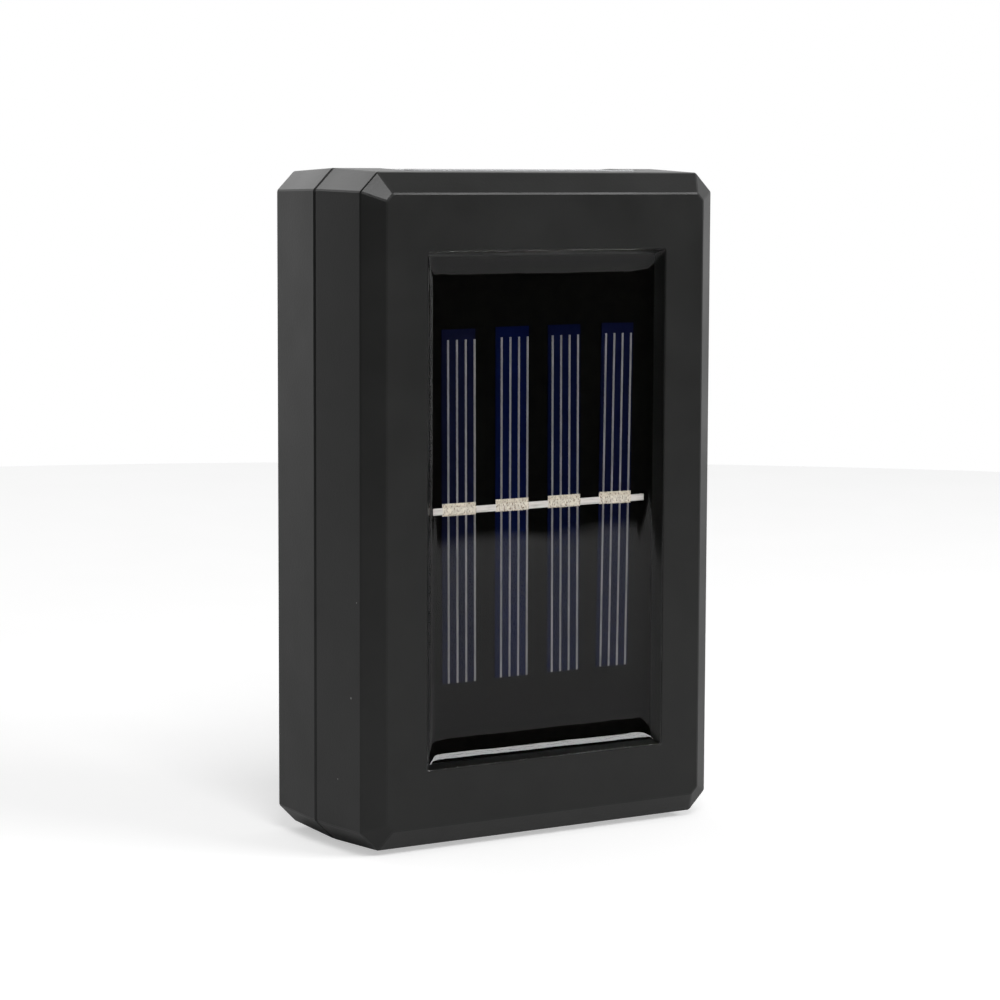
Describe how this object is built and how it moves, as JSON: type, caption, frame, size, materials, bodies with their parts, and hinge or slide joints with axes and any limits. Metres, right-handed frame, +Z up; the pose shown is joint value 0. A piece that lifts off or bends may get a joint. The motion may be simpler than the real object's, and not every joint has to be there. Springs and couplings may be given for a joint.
{
  "type": "fence light",
  "caption": "Flat solar fence light in a black bevelled housing, with a resin-covered cell panel in front, clear lenses at top and bottom, and a keyhole and slide switch behind.",
  "frame": {"origin": "middle of the flat back face, which lies against the fence", "axes": "+Z up along the height, +Y out of the back into the fence, +X to the right seen from the front; the solar window faces -Y"},
  "size_m": [0.0568, 0.0245, 0.09],
  "materials": {
    "housing_plastic": "black ABS with a fine moulded grain",
    "lens_plastic": "clear polycarbonate",
    "screw_steel": "zinc-plated",
    "panel_board": "black glass-fibre board",
    "solar_cell": "dark blue silicon",
    "printed_silver": "dull printed silver",
    "tinned_ribbon": "tinned copper",
    "clear_resin": "clear poured epoxy, glossy",
    "circuit_board": "green solder mask",
    "component_black": "moulded, dull black",
    "choke_green": "dipped enamel",
    "led_epoxy": "clear epoxy over a yellow phosphor",
    "lead_metal": "tinned",
    "switch_cover": "folded sheet, plated",
    "battery_can": "nickel-plated",
    "battery_sleeve": "shrunk plastic film",
    "wire_red": "soft insulation",
    "wire_black": "soft insulation"
  },
  "bodies": {
    "light": {"front_shell": "housing_plastic", "back_shell": "housing_plastic", "top_lens": "lens_plastic", "bottom_lens": "lens_plastic", "housing_screws": "screw_steel", "panel_board": "panel_board", "solar_cells": "solar_cell", "cell_fingers": "printed_silver", "solder_pads": "printed_silver", "tab_ribbon": "tinned_ribbon", "resin_cover": "clear_resin", "driver_board": "circuit_board", "board_screws": "screw_steel", "driver_chip": "component_black", "choke_coil": "choke_green", "top_led": "led_epoxy", "bottom_led": "led_epoxy", "top_led_leads": "lead_metal", "bottom_led_leads": "lead_metal", "switch_body": "switch_cover", "switch_pins": "lead_metal", "battery_cell": "battery_can", "battery_sleeve": "battery_sleeve", "battery_tabs": "lead_metal", "panel_wire_red": "wire_red", "panel_wire_black": "wire_black", "battery_wire_red": "wire_red", "battery_wire_black": "wire_black"},
    "lever": {"switch_lever": "component_black"}
  },
  "joints": [
    {"name": "lever_slide", "type": "slide", "parent": "light", "child": "lever", "axis": [1, 0, 0], "range_m": [0, 0.002]}
  ]
}
